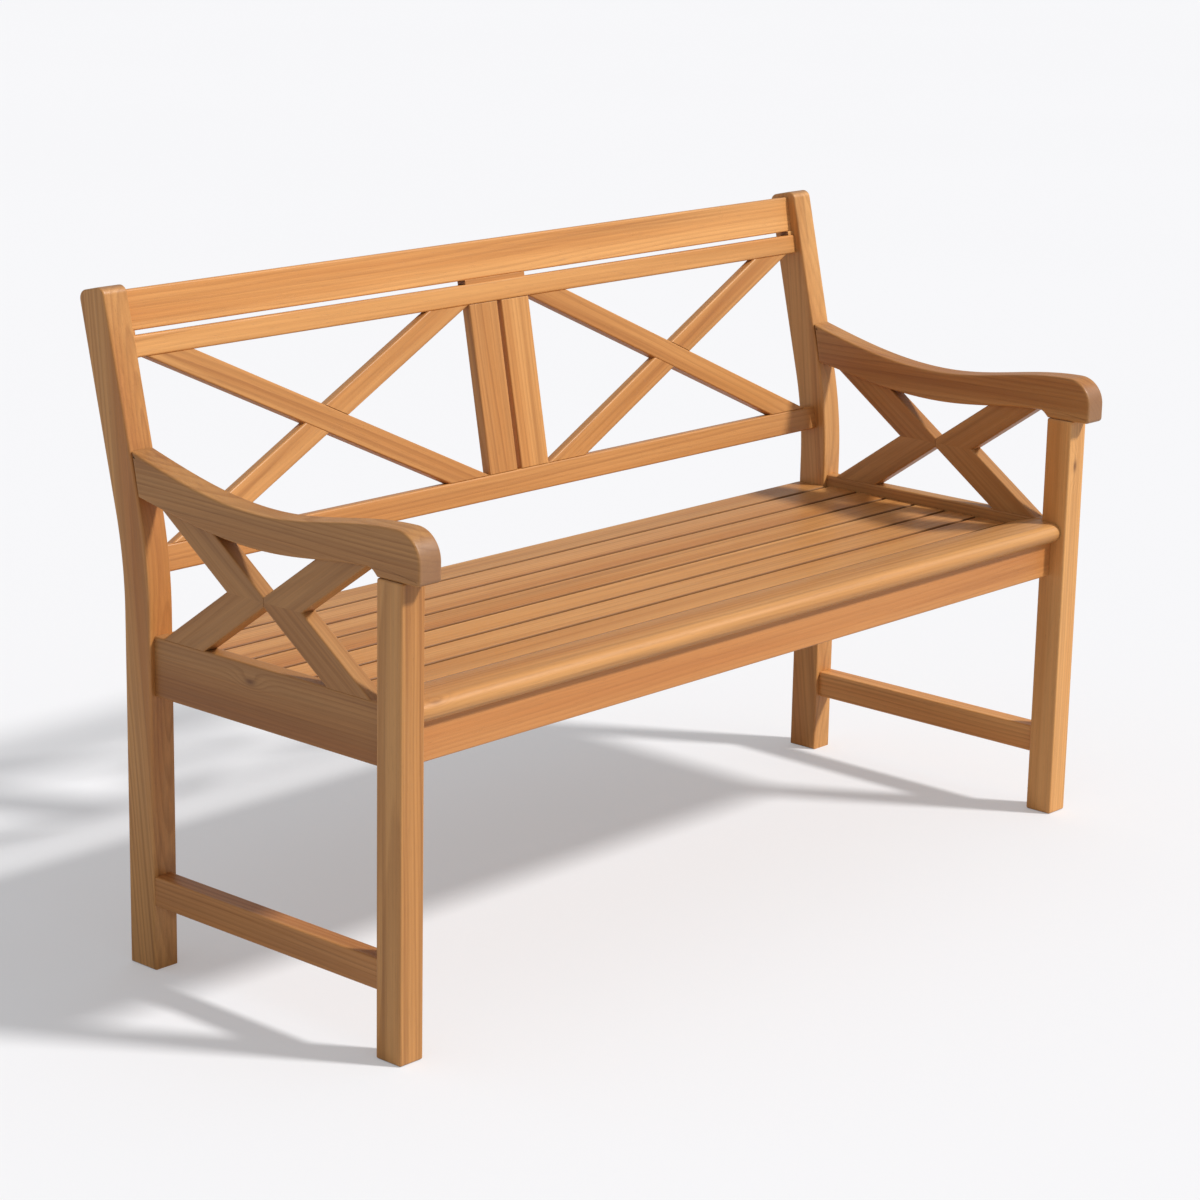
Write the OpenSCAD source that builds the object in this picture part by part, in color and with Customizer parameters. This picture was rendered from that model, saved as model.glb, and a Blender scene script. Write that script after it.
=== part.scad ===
// Hardwood garden bench with crossed bars in the back and arrow braces under the arms.
// X runs along the bench, Y to the back, Z up; the origin is on the ground under the middle.

/* [Overall] */
// Length over the outer faces of the legs
bench_w = 1440; // [1200:10:1800]
// Depth on the ground, from the front of the legs to the back of the posts
base_d = 516; // [440:2:620]
// Height of the post tops
bench_h = 906; // [820:2:1080]
// Height of the narrow seat slats' top faces
seat_h = 443; // [400:1:470]

/* [Legs and posts] */
// Width of the front legs and of the back posts
leg_w = 40; // [34:1:60]
// Depth of the front legs
leg_d = 44; // [38:1:60]
// Depth of the back posts, square to their faces
post_d = 50; // [44:1:64]
// Lean of the upper part of the posts in degrees
rake = 13.2; // [8:0.1:16]
// Radius of the bend in the back face of the posts
bend_r = 590; // [300:10:800]
// Height of the bend above the seat
bend_rise = 110; // [80:1:160]
// Rounding of the post tops
post_top_r = 12; // [2:1:18]

/* [Arms] */
// Width of the arms
arm_w = 38; // [30:1:40]
// Height of the arms over the front legs, above the seat
arm_up = 241; // [200:1:280]
// Overhang of the arms in front of the legs
arm_nose = 29; // [15:1:50]
// Radius of the rolled front end
arm_nose_r = 39; // [25:1:50]
// Clearance of the arm's underside behind the front leg
arm_step = 16; // [8:1:30]
// Depth of the arm over the front leg
arm_front_t = 65; // [56:1:80]
// Depth of the arm through its hollow
arm_mid_t = 46; // [36:1:56]
// How far the hollow lies below the front end
arm_dip = 24.5; // [5:0.5:35]
// How far the back end rises above the front end
arm_rise = 18; // [0:1:40]
// Extra depth of the arm at the two ends of its hollow
arm_swell = 8; // [0:1:14]
// Rounding of the lip under the rolled end
arm_lip_r = 6; // [2:1:12]

/* [Arm braces] */
// Width of a brace bar
brace_w = 46; // [30:1:60]
// Thickness of a brace bar
brace_t = 24; // [16:1:34]
// Slope of the bars in degrees
brace_a = 35; // [28:1:45]
// Height of the bars' meeting point above the side rail
brace_rise = 86; // [60:1:110]
// How far the point of each pair is cut back where the pairs meet
brace_tip = 10; // [4:0.5:16]

/* [Seat frame] */
// Thickness of the side rails
side_rail_t = 24; // [18:1:34]
// Height of the side rails
side_rail_h = 82; // [60:1:110]
// How far the side rails stand above the slats
side_rail_up = 17; // [0:1:30]
// Thickness of the front rail
front_rail_t = 19; // [16:1:24]
// Height of the front rail
front_rail_h = 54; // [40:1:80]
// Thickness of the back seat rail
back_rail_t = 22; // [18:1:30]
// Height of the back seat rail and of the middle bearer
back_rail_h = 46; // [36:1:70]
// How far the back seat rail lies behind the front of the posts
back_rail_in = 14; // [4:1:20]
// Thickness of the middle bearer
bearer_t = 30; // [20:1:50]
// Side of the square cleats that carry the slat ends
cleat = 22; // [16:1:30]
// Thickness of the low stretchers
stretcher_t = 30; // [18:1:36]
// Height of the low stretchers
stretcher_h = 41; // [30:1:60]
// Height of the stretchers above the ground
stretcher_z = 90; // [40:1:200]
// How far the stretchers lie inside the outer face of the legs
stretcher_in = 2; // [0:1:8]

/* [Seat slats] */
// Thickness of the narrow slats
slat_t = 20; // [14:1:26]
// Gap between slats
slat_gap = 6; // [3:0.5:12]
// Back edge of the wide front slat, from the front of the legs
front_slat_y = 108; // [80:1:120]
// Front edge of the wide front slat, from the front of the legs
front_slat_nose = 8; // [2:1:20]
// Height of the front slat's top above the narrow slats
front_slat_up = 16.5; // [8:0.5:22]
// Thickness of the front slat over the front rail
front_slat_t = 29; // [22:1:34]
// How far the front slat's top falls away to its back edge
front_slat_drop = 15.5; // [2:0.5:18]
// Gap between slat ends and the frame
slat_end = 0.8; // [0.3:0.1:3]

/* [Back] */
// Height of the lower back rail above the seat
back_rise = 92; // [60:1:140]
// How far the lower back rail lies behind the front of the posts
back_in = 19; // [8:1:24]
// How far the top of the panel lies behind the front of the posts
back_top_in = 8; // [2:1:16]
// How far the top rail's face lies behind the upper rail's
top_rail_in = 6; // [0:1:10]
// How far the spacers' faces lie behind the upper rail's
spacer_in = 3; // [0:1:8]
// How far the top rail lies below the post tops
top_drop = 7; // [0:1:40]
// Height of the top rail
top_rail_h = 54; // [40:1:90]
// Height of the upper rail under the top rail
upper_rail_h = 29; // [24:1:50]
// Height of the lower back rail
lower_rail_h = 36; // [28:1:60]
// Thickness of the three back rails
rail_t = 24; // [18:1:26]
// Thickness of the crossed bars and stiles
bar_t = 16; // [12:1:22]
// Width of the crossed bars
bar_w = 35; // [25:1:45]
// Width of each middle stile
stile_w = 57; // [40:1:70]
// Gap between the two middle stiles
stile_gap = 8.5; // [3:0.5:20]
// Clear length left between the crossed bars and the posts
bar_end_gap = 24; // [0:1:60]
// Height of the slot between the top rail and the upper rail
slot_h = 6; // [3:0.5:15]
// Length of the end spacers in the slot
spacer_l = 12; // [8:1:40]

/* [Joints] */
// Clearance around tenons, dowels and screws
fit = 0.15; // [0.05:0.05:0.4]
// Length of the long tenons
tenon_l = 20; // [14:1:24]
// Wood left between the ends of the short tenons and the long ones
stub_gap = 2; // [1:0.5:4]
// Thickness of the tenons
tenon_t = 10; // [8:1:14]
// Shoulder above and below a tenon
shoulder = 8; // [4:1:12]
// Diameter of the thin dowels in the back
thin_dowel_d = 6; // [5:1:8]
// Diameter of the dowels
dowel_d = 8; // [6:1:10]
// Length of the dowels
dowel_l = 30; // [20:1:40]
// Shank diameter of the screws
screw_d = 4.5; // [3.5:0.5:6]
// Head diameter of the screws
screw_head = 8.5; // [7:0.5:11]
// Length of the screw threads in the slats, as a share of their thickness
screw_bite = 0.7; // [0.5:0.05:0.8]
// Rounding of the long edges
ease = 3; // [1:0.5:5]

/* [Hidden] */

timber = [0.80, 0.56, 0.34];
pale_timber = [0.84, 0.64, 0.42];
steel = [0.72, 0.72, 0.70];
curve_steps = 10;
round_fn = 32;

// Frame lines
leg_out = bench_w / 2;
leg_in = leg_out - leg_w;
leg_mid = leg_out - leg_w / 2;
post_y = base_d - post_d;
bend_z = seat_h + bend_rise;
slat_z = seat_h - slat_t;
side_top = seat_h + side_rail_up;
side_bottom = side_top - side_rail_h;
front_slat_z = seat_h + front_slat_up - front_slat_t;
front_rail_y = leg_d - front_rail_t;
back_rail_y = post_y + back_rail_in;
arm_h = seat_h + arm_up;
arm_under = arm_h - arm_front_t;
stub_l = leg_w / 2 - tenon_t / 2 - stub_gap;
bay_mid = (leg_d + post_y) / 2;
narrow_slats = 7;
slat_w = (base_d - front_slat_y - narrow_slats * slat_gap) / narrow_slats;
rail_in = leg_mid - side_rail_t / 2;
cleat_in = rail_in - cleat;

// Bend of the posts: the two faces share a centre behind the post
bend_y = base_d + bend_r;
bend_start = bend_z - bend_r * tan(rake / 2);
front_bend = [bend_y - (bend_r + post_d) * cos(rake), bend_start + (bend_r + post_d) * sin(rake)];
post_up = [sin(rake), cos(rake)];
post_across = [cos(rake), -sin(rake)];
corner_z = bench_h + post_top_r * (sin(rake) + cos(rake) - 1);
front_top = front_bend + post_up * (corner_z - front_bend[1]) / cos(rake);
back_top = front_top + post_across * post_d;
function post_front_at(z) = front_top[0] - (corner_z - z) * tan(rake);

// Deepest points of the bench from front to back set the origin
back_most = back_top[0] - post_top_r * (post_across[0] + post_up[0]) + post_top_r;
y_mid = (back_most - arm_nose) / 2;

// Panel of the back, in its own leaning frame
panel_y = post_y + back_in;
panel_z = seat_h + back_rise;
panel_top = bench_h - top_drop;
panel_rake = atan((post_front_at(panel_top) + back_top_in - panel_y) / (panel_top - panel_z));
panel_h = (panel_top - panel_z) / cos(panel_rake);
top_rail_v = panel_h - top_rail_h;
upper_rail_v = top_rail_v - slot_h - upper_rail_h;
open_h = upper_rail_v - lower_rail_h;
stile_out = stile_gap / 2 + stile_w;
bar_near = stile_out + slat_end;
bar_far = leg_in - bar_end_gap;
bar_x = (bar_near + bar_far) / 2;

// Slope at which a bar of width w runs corner to corner of an opening
function corner_slope(a, span, h, w, n) =
    n == 0 ? a : corner_slope(atan(h / (span - w / sin(a))), span, h, w, n - 1);
bar_a = corner_slope(25, bar_far - bar_near, open_h, bar_w, 12);

// Arm: heights of the top and the underside along the depth
arm_nose_mid = arm_nose_r - arm_nose;
function blend(t) = (1 - cos(180 * t)) / 2;
function lift(t) = 1 - cos(90 * t);
hollow_y = bay_mid;
arm_back_y = post_y + 0.7 * post_d;
function arm_top_z(y) = y < hollow_y
    ? arm_h - arm_dip * blend((y - arm_nose_mid) / (hollow_y - arm_nose_mid))
    : arm_h - arm_dip + (arm_dip + arm_rise) * lift((y - hollow_y) / (arm_back_y - hollow_y));
function arm_low_z(y) = arm_top_z(y) - arm_mid_t - arm_swell * pow((y - hollow_y) / (post_y - hollow_y), 2);
arm_foot_y = leg_d + arm_step;

// Round arc of points about c
function arc(c, r, from, to, n = curve_steps) =
    [for (i = [0:n]) let (a = from + (to - from) * i / n) [c[0] + r * cos(a), c[1] + r * sin(a)]];

// Rectangle with rounded corners, centred
module eased_square(w, h, r = ease) {
    x = w / 2 - r;
    y = h / 2 - r;
    polygon(concat(arc([x, y], r, 0, 90, 3), arc([-x, y], r, 90, 180, 3),
        arc([-x, -y], r, 180, 270, 3), arc([x, -y], r, 270, 360, 3)));
}

// Box between two corners, grown by g on every side
module block(a, b, g = 0) {
    translate(a - [g, g, g])
        cube(b - a + 2 * [g, g, g]);
}

// Bars with eased long edges between two corners
module bar_x(a, b, r = ease) {
    translate([a[0], (a[1] + b[1]) / 2, (a[2] + b[2]) / 2])
        rotate([90, 0, 90])
            linear_extrude(b[0] - a[0])
                eased_square(b[1] - a[1], b[2] - a[2], r);
}

module bar_y(a, b, r = ease) {
    translate([(a[0] + b[0]) / 2, b[1], (a[2] + b[2]) / 2])
        rotate([90, 0, 0])
            linear_extrude(b[1] - a[1])
                eased_square(b[0] - a[0], b[2] - a[2], r);
}

module bar_z(a, b, r = ease) {
    translate([(a[0] + b[0]) / 2, (a[1] + b[1]) / 2, a[2]])
        linear_extrude(b[2] - a[2])
            eased_square(b[0] - a[0], b[1] - a[1], r);
}

// Side outline drawn in Y and Z, w thick and centred on x
module side_slab(x, w) {
    translate([x - w / 2, 0, 0])
        rotate([90, 0, 90])
            linear_extrude(w)
                children();
}

// Moves the bench so that its overall box is centred on the origin
module placed() {
    translate([0, -y_mid, 0])
        children();
}

module mirrored(side) {
    mirror([side < 0 ? 1 : 0, 0, 0])
        children();
}

// Leaning frame of the back panel: z runs up the slope, y into the thickness
module leaning() {
    translate([0, panel_y, panel_z])
        rotate([-panel_rake, 0, 0])
            children();
}

// Tenons on the right-hand side; g turns a tenon into its mortise
module side_rail_tenons(g = 0) {
    low = side_bottom + shoulder;
    high = side_top - shoulder;
    for (y = [leg_d - tenon_l, post_y])
        block([leg_mid - tenon_t / 2, y, low], [leg_mid + tenon_t / 2, y + tenon_l, high], g);
}

module stretcher_tenons(g = 0) {
    mid = leg_out - stretcher_in - stretcher_t / 2;
    low = stretcher_z + shoulder;
    high = stretcher_z + stretcher_h - shoulder;
    for (y = [leg_d - tenon_l, post_y])
        block([mid - tenon_t / 2, y, low], [mid + tenon_t / 2, y + tenon_l, high], g);
}

module front_rail_tenon(g = 0) {
    mid = front_rail_y + front_rail_t / 2;
    low = front_slat_z - front_rail_h + shoulder;
    block([leg_in, mid - tenon_t / 2, low],
        [leg_in + stub_l, mid + tenon_t / 2, front_slat_z - shoulder], g);
}

module back_seat_rail_tenon(g = 0) {
    mid = back_rail_y + back_rail_t / 2;
    block([leg_in, mid - tenon_t / 2, slat_z - back_rail_h + shoulder],
        [leg_in + stub_l, mid + tenon_t / 2, slat_z - shoulder], g);
}

// The tenon's foot reaches back into the arm, where the arm's end is cut to the post's slope
module arm_tenon(g = 0) {
    high = arm_h + arm_rise - 3 * shoulder;
    low = high - arm_mid_t / 2;
    block([leg_mid - tenon_t / 2, post_front_at(low) - shoulder, low],
        [leg_mid + tenon_t / 2, post_front_at(high) + tenon_l, high], g);
}

module leg_tenon(g = 0) {
    block([leg_mid - tenon_t, leg_d / 2 - tenon_t, arm_under - 1],
        [leg_mid + tenon_t, leg_d / 2 + tenon_t, arm_under + tenon_l], g);
}

module panel_tenon(v, h, y, g = 0) {
    mid = y + rail_t / 2;
    block([leg_in, mid - tenon_t / 2, v + shoulder / 2],
        [leg_in + tenon_l, mid + tenon_t / 2, v + h - shoulder / 2], g);
}

module bearer_tenons(g = 0) {
    for (y = [leg_d - tenon_t / 2, back_rail_y])
        block([-tenon_t, y, slat_z - back_rail_h + shoulder],
            [tenon_t, y + tenon_t / 2, slat_z - shoulder], g);
}

// Dowels: one list of places for the pegs and for their holes
brace_mid = brace_w / 2 / sin(brace_a) - brace_tip;
brace_z = side_top + brace_rise;
function brace_y(side, z) = bay_mid + side * (brace_mid + abs(z - brace_z) / tan(brace_a));
arm_dowel_z = arm_under + 2;

module upright_dowel(p, g = 0) {
    translate([p[0], p[1], p[2] - dowel_l / 2 - g])
        cylinder(d = dowel_d + 2 * g, h = dowel_l + 2 * g, $fn = round_fn);
}

module brace_pegs(g = 0) {
    for (side = [-1, 1], z = [side_top, arm_dowel_z])
        upright_dowel([leg_mid, brace_y(side, z), z], g);
}

slat_peg_x = [for (i = [-3:2:3]) i / 3 * (leg_in - 5 * leg_w / 2)];
module slat_pegs(g = 0) {
    for (x = slat_peg_x) {
        upright_dowel([x, front_rail_y + front_rail_t / 2, front_slat_z - 1], g);
        upright_dowel([x, back_rail_y + back_rail_t / 2, slat_z - 1], g);
    }
}

// Pegs at the ends of the stiles and crossed bars, in the leaning frame
bar_reach = open_h / 2 / tan(bar_a);
panel_peg_x = [stile_gap / 2 + stile_w / 2, bar_x - bar_reach, bar_x + bar_reach];
module panel_pegs(g = 0) {
    for (side = [-1, 1], x = panel_peg_x, v = [lower_rail_h, upper_rail_v])
        translate([side * x, bar_t / 2, v - dowel_l / 3 - g])
            cylinder(d = thin_dowel_d + 2 * g, h = 2 * dowel_l / 3 + 2 * g, $fn = round_fn);
}

// Countersunk screw pointing up from z = 0, with its head at the bottom
module screw(length, g = 0) {
    cone = (screw_head - screw_d) / 2;
    translate([0, 0, -g])
        cylinder(d = screw_head + 2 * g, h = 1 + g, $fn = round_fn);
    translate([0, 0, 1])
        cylinder(d1 = screw_head + 2 * g, d2 = screw_d + 2 * g, h = cone, $fn = round_fn);
    translate([0, 0, 1])
        cylinder(d = screw_d + 2 * g, h = length - 1 + g, $fn = round_fn);
}

function slat_y(i) = front_slat_y + slat_gap + i * (slat_w + slat_gap);
slat_mids = [for (i = [0:narrow_slats - 2]) slat_y(i) + slat_w / 2];
cleat_gaps = [for (i = [0:2:narrow_slats - 2]) slat_y(i) - slat_gap / 2];
cleat_screw_l = cleat + side_rail_t / 2;
bearer_well = back_rail_h - cleat;

// Screws up through the cleats and the bearer into the slats
module slat_screw_set(g = 0) {
    for (y = slat_mids) {
        for (side = [-1, 1])
            translate([side * (cleat_in + cleat / 2), y, slat_z - cleat])
                screw(cleat + slat_t * screw_bite, g);
        translate([0, y, slat_z - cleat])
            screw(cleat + slat_t * screw_bite, g);
    }
}

// Screws through a cleat into its side rail, right-hand side
module cleat_screw_set(g = 0) {
    for (y = cleat_gaps)
        translate([cleat_in, y, slat_z - cleat / 2])
            rotate([0, 90, 0])
                screw(cleat_screw_l, g);
}

// Outlines in Y and Z
module post_outline() {
    across = post_across * post_top_r;
    up = post_up * post_top_r;
    polygon(concat(
        [[post_y, 0]],
        [for (i = [0:curve_steps]) let (t = rake * i / curve_steps)
            [bend_y - (bend_r + post_d) * cos(t), bend_start + (bend_r + post_d) * sin(t)]],
        arc(front_top + across - up, post_top_r, 180 - rake, 90 - rake),
        arc(back_top - across - up, post_top_r, 90 - rake, -rake),
        [for (i = [0:curve_steps]) let (t = rake * (1 - i / curve_steps))
            [bend_y - bend_r * cos(t), bend_start + bend_r * sin(t)]],
        [[base_d, 0]]));
}

arm_steps = 24;
arm_end_y = post_y + 1.2 * post_d;
notch_flat = 2;
arm_foot = [[leg_d, arm_under], [leg_d + notch_flat, arm_under]];
arm_low = [for (i = [0:arm_steps]) let (y = arm_foot_y + (arm_end_y - arm_foot_y) * i / arm_steps)
    [y, arm_low_z(y)]];
module arm_outline() {
    nose = arc([arm_nose_mid, arm_h - arm_nose_r], arm_nose_r, 180, 90);
    top = [for (i = [1:arm_steps]) let (y = arm_nose_mid + (arm_end_y - arm_nose_mid) * i / arm_steps)
        [y, arm_top_z(y)]];
    under = [for (i = [arm_steps:-1:0]) arm_low[i]];
    foot = [arm_foot[1], arm_foot[0]];
    lip = arc([arm_lip_r - arm_nose, arm_under + arm_lip_r], arm_lip_r, 270, 180, 4);
    difference() {
        polygon(concat(nose, top, under, foot, lip));
        post_outline();
    }
}

// Opening between the side rail, the leg, the arm and the post
module bay_outline() {
    difference() {
        intersection() {
            polygon(concat([[leg_d, side_top]], arm_foot, arm_low, [[arm_end_y, side_top]]));
            translate([leg_d, side_top])
                square([arm_back_y - leg_d, arm_h - side_top]);
        }
        post_outline();
    }
}

// One brace bar: side is -1 for the front pair and 1 for the back, level is 1 above and -1 below
module brace_outline(side, level) {
    run = post_y - bay_mid;
    rise = run * tan(brace_a);
    outer = -brace_tip;
    inner = brace_w / sin(brace_a) - brace_tip;
    translate([bay_mid, brace_z])
        mirror([side < 0 ? 1 : 0, 0])
            mirror([0, level < 0 ? 1 : 0])
                intersection() {
                    polygon([[outer, 0], [outer + run, rise], [inner + run, rise], [inner, 0]]);
                    square([2 * run, rise]);
                }
}

module brace(side, level) {
    difference() {
        side_slab(leg_mid, brace_t)
            intersection() {
                brace_outline(side, level);
                bay_outline();
            }
        brace_pegs(fit);
    }
}

// Right-hand pieces
module front_leg() {
    difference() {
        union() {
            bar_z([leg_in, 0, 0], [leg_out, leg_d, arm_under]);
            leg_tenon();
        }
        side_rail_tenons(fit);
        stretcher_tenons(fit);
        front_rail_tenon(fit);
    }
}

module back_post() {
    difference() {
        side_slab(leg_mid, leg_w)
            post_outline();
        side_rail_tenons(fit);
        stretcher_tenons(fit);
        back_seat_rail_tenon(fit);
        arm_tenon(fit);
        leaning() {
            panel_tenon(0, lower_rail_h, 0, fit);
            panel_tenon(upper_rail_v, upper_rail_h, 0, fit);
            panel_tenon(top_rail_v, top_rail_h, top_rail_in, fit);
        }
    }
}

module arm() {
    difference() {
        union() {
            side_slab(leg_mid, arm_w)
                arm_outline();
            arm_tenon();
        }
        leg_tenon(fit);
        brace_pegs(fit);
    }
}

module side_rail() {
    difference() {
        union() {
            bar_y([rail_in, leg_d, side_bottom], [rail_in + side_rail_t, post_y, side_top]);
            side_rail_tenons();
        }
        brace_pegs(fit);
        cleat_screw_set(fit);
    }
}

module stretcher() {
    x = leg_out - stretcher_in - stretcher_t;
    bar_y([x, leg_d, stretcher_z], [x + stretcher_t, post_y, stretcher_z + stretcher_h]);
    stretcher_tenons();
}

module cleat_bar() {
    difference() {
        bar_y([cleat_in, leg_d + 2, slat_z - cleat], [rail_in, post_y - 2, slat_z], 1);
        slat_screw_set(fit);
        cleat_screw_set(fit);
    }
}

// Seat slats
module front_slat() {
    top = seat_h + front_slat_up;
    nose_r = front_slat_t / 2;
    fall = front_slat_y - leg_d;
    crown_r = (fall * fall / front_slat_drop + front_slat_drop) / 2;
    crown_a = asin(fall / crown_r);
    outline = concat(
        arc([front_slat_nose + nose_r, top - nose_r], nose_r, 270, 90, 14),
        arc([leg_d, top - crown_r], crown_r, 90, 90 - crown_a, 6),
        [[front_slat_y, slat_z], [leg_d, slat_z], [leg_d, front_slat_z]]);
    difference() {
        side_slab(0, 2 * (rail_in - slat_end))
            polygon(outline);
        for (side = [-1, 1])
            mirrored(side)
                block([leg_in - slat_end, 0, 0], [leg_out, leg_d + slat_end, arm_h]);
        slat_pegs(fit);
    }
}

module narrow_slat(i) {
    y = slat_y(i);
    half = i == narrow_slats - 1 ? leg_in - slat_end : rail_in - slat_end;
    difference() {
        bar_x([-half, y, slat_z], [half, y + slat_w, seat_h]);
        slat_screw_set(fit);
        slat_pegs(fit);
        // A slat that reaches the posts is notched round them
        if (i < narrow_slats - 1 && y + slat_w > post_y - slat_end)
            for (side = [-1, 1])
                mirrored(side)
                    block([leg_in - slat_end, post_y - slat_end, 0], [leg_out, base_d, arm_h]);
    }
}

// Pieces of the back, in the leaning frame
module panel_rail(v, h, y) {
    difference() {
        union() {
            bar_x([-leg_in, y, v], [leg_in, y + rail_t, v + h]);
            for (side = [-1, 1])
                mirrored(side)
                    panel_tenon(v, h, y);
        }
        panel_pegs(fit);
    }
}

module stile(side) {
    mirrored(side)
        difference() {
            block([stile_gap / 2, 0, lower_rail_h], [stile_out, bar_t, upper_rail_v]);
            panel_pegs(fit);
        }
}

module bar_strip(side, slope, g = 0) {
    translate([side * bar_x, lower_rail_h + open_h / 2])
        rotate(slope * bar_a)
            square([2 * bar_x + leg_in, bar_w + 2 * g], center = true);
}

// A crossed bar: slope 1 rises to the right, -1 falls; the falling bar keeps its front half
module crossed_bar(side, slope) {
    half = bar_t / 2;
    difference() {
        translate([0, bar_t, 0])
            rotate([90, 0, 0])
                linear_extrude(bar_t)
                    intersection() {
                        bar_strip(side, slope);
                        translate([side * bar_x - leg_in, lower_rail_h])
                            square([2 * leg_in, open_h]);
                    }
        translate([0, slope < 0 ? bar_t + 1 : half + fit / 2, 0])
            rotate([90, 0, 0])
                linear_extrude(half + 1 + fit / 2)
                    bar_strip(side, -slope, fit);
        panel_pegs(fit);
    }
}

module spacer(a, b) {
    block([a, spacer_in, upper_rail_v + upper_rail_h], [b, spacer_in + bar_t, top_rail_v]);
}

// Nodes
module left_front_leg() { color(timber) placed() mirrored(-1) front_leg(); }
module right_front_leg() { color(timber) placed() front_leg(); }
module left_back_post() { color(timber) placed() mirrored(-1) back_post(); }
module right_back_post() { color(timber) placed() back_post(); }
module left_arm() { color(timber) placed() mirrored(-1) arm(); }
module right_arm() { color(timber) placed() arm(); }
module left_side_rail() { color(timber) placed() mirrored(-1) side_rail(); }
module right_side_rail() { color(timber) placed() side_rail(); }
module left_stretcher() { color(timber) placed() mirrored(-1) stretcher(); }
module right_stretcher() { color(timber) placed() stretcher(); }
module left_cleat() { color(timber) placed() mirrored(-1) cleat_bar(); }
module right_cleat() { color(timber) placed() cleat_bar(); }

module front_rail() {
    low = front_slat_z - front_rail_h;
    color(timber)
        placed()
            difference() {
                union() {
                    bar_x([-leg_in, front_rail_y, low], [leg_in, leg_d, front_slat_z]);
                    for (side = [-1, 1])
                        mirrored(side)
                            front_rail_tenon();
                }
                slat_pegs(fit);
                bearer_tenons(fit);
            }
}

module back_seat_rail() {
    low = slat_z - back_rail_h;
    color(timber)
        placed()
            difference() {
                union() {
                    bar_x([-leg_in, back_rail_y, low], [leg_in, back_rail_y + back_rail_t, slat_z]);
                    for (side = [-1, 1])
                        mirrored(side)
                            back_seat_rail_tenon();
                }
                slat_pegs(fit);
                bearer_tenons(fit);
            }
}

module middle_bearer() {
    low = slat_z - back_rail_h;
    color(timber)
        placed()
            difference() {
                union() {
                    bar_y([-bearer_t / 2, leg_d, low], [bearer_t / 2, back_rail_y, slat_z]);
                    bearer_tenons();
                }
                slat_screw_set(fit);
                for (y = slat_mids)
                    translate([0, y, low - 1])
                        cylinder(d = screw_head + 2, h = bearer_well + 1, $fn = round_fn);
            }
}

module seat_slat_1() { color(timber) placed() front_slat(); }
module seat_slat_2() { color(timber) placed() narrow_slat(0); }
module seat_slat_3() { color(timber) placed() narrow_slat(1); }
module seat_slat_4() { color(timber) placed() narrow_slat(2); }
module seat_slat_5() { color(timber) placed() narrow_slat(3); }
module seat_slat_6() { color(timber) placed() narrow_slat(4); }
module seat_slat_7() { color(timber) placed() narrow_slat(5); }
module seat_slat_8() { color(timber) placed() narrow_slat(6); }

module top_rail() { color(timber) placed() leaning() panel_rail(top_rail_v, top_rail_h, top_rail_in); }
module upper_rail() { color(timber) placed() leaning() panel_rail(upper_rail_v, upper_rail_h, 0); }
module lower_rail() { color(timber) placed() leaning() panel_rail(0, lower_rail_h, 0); }
module left_stile() { color(timber) placed() leaning() stile(-1); }
module right_stile() { color(timber) placed() leaning() stile(1); }
module left_falling_bar() { color(timber) placed() leaning() crossed_bar(-1, -1); }
module left_rising_bar() { color(timber) placed() leaning() crossed_bar(-1, 1); }
module right_falling_bar() { color(timber) placed() leaning() crossed_bar(1, -1); }
module right_rising_bar() { color(timber) placed() leaning() crossed_bar(1, 1); }
module middle_spacer() { color(timber) placed() leaning() spacer(-stile_out, stile_out); }
module left_spacer() { color(timber) placed() leaning() spacer(-leg_in, spacer_l - leg_in); }
module right_spacer() { color(timber) placed() leaning() spacer(leg_in - spacer_l, leg_in); }

module left_brace_front_top() { color(timber) placed() mirrored(-1) brace(-1, 1); }
module left_brace_front_low() { color(timber) placed() mirrored(-1) brace(-1, -1); }
module left_brace_back_top() { color(timber) placed() mirrored(-1) brace(1, 1); }
module left_brace_back_low() { color(timber) placed() mirrored(-1) brace(1, -1); }
module right_brace_front_top() { color(timber) placed() brace(-1, 1); }
module right_brace_front_low() { color(timber) placed() brace(-1, -1); }
module right_brace_back_top() { color(timber) placed() brace(1, 1); }
module right_brace_back_low() { color(timber) placed() brace(1, -1); }

module slat_screws() { color(steel) placed() slat_screw_set(); }
module cleat_screws() {
    color(steel)
        placed()
            for (side = [-1, 1])
                mirrored(side)
                    cleat_screw_set();
}
module slat_dowels() { color(pale_timber) placed() slat_pegs(); }
module brace_dowels() {
    color(pale_timber)
        placed()
            for (side = [-1, 1])
                mirrored(side)
                    brace_pegs();
}
module panel_dowels() { color(pale_timber) placed() leaning() panel_pegs(); }

left_front_leg();
right_front_leg();
left_back_post();
right_back_post();
left_arm();
right_arm();
left_side_rail();
right_side_rail();
left_stretcher();
right_stretcher();
front_rail();
back_seat_rail();
middle_bearer();
left_cleat();
right_cleat();
seat_slat_1();
seat_slat_2();
seat_slat_3();
seat_slat_4();
seat_slat_5();
seat_slat_6();
seat_slat_7();
seat_slat_8();
top_rail();
upper_rail();
lower_rail();
left_stile();
right_stile();
left_falling_bar();
left_rising_bar();
right_falling_bar();
right_rising_bar();
middle_spacer();
left_spacer();
right_spacer();
left_brace_front_top();
left_brace_front_low();
left_brace_back_top();
left_brace_back_low();
right_brace_front_top();
right_brace_front_low();
right_brace_back_top();
right_brace_back_low();
slat_screws();
cleat_screws();
slat_dowels();
brace_dowels();
panel_dowels();
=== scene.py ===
import bpy
import numpy as np
from mathutils import Matrix, Vector


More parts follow.
